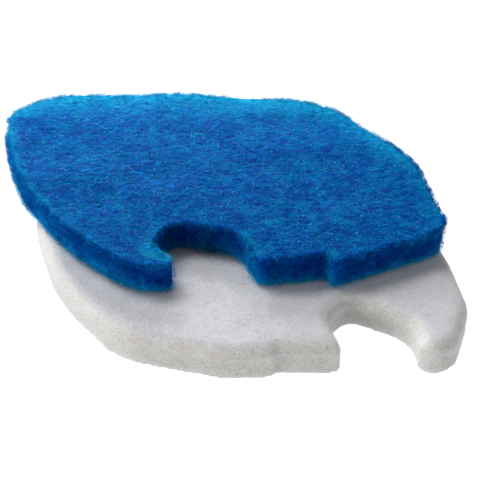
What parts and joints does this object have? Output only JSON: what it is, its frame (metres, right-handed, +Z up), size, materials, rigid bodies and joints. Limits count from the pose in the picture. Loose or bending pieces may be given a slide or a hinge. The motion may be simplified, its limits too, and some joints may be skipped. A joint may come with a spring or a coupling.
{
  "type": "canister filter pad set",
  "caption": "Loose filter pads for a canister filter: a blue open-fibre pad lying on a white floss pad, each with a round notch and a stepped front edge.",
  "frame": {"origin": "on the surface the pads lie on, under the middle of the stack's footprint", "axes": "+X along the front edges towards the fine pad's horn, +Y towards the back, +Z up through both pads"},
  "size_m": [0.2532, 0.233, 0.0333],
  "materials": {
    "white_floss": "matte",
    "blue_fibre": "matte"
  },
  "bodies": {
    "fine_pad": {"fine_pad": "white_floss"},
    "coarse_pad": {"coarse_pad": "blue_fibre"}
  },
  "joints": [
    {"name": "coarse_pad_lift", "type": "slide", "parent": "fine_pad", "child": "coarse_pad", "axis": [0, 0, 1], "range_m": [0, 0.06]}
  ]
}
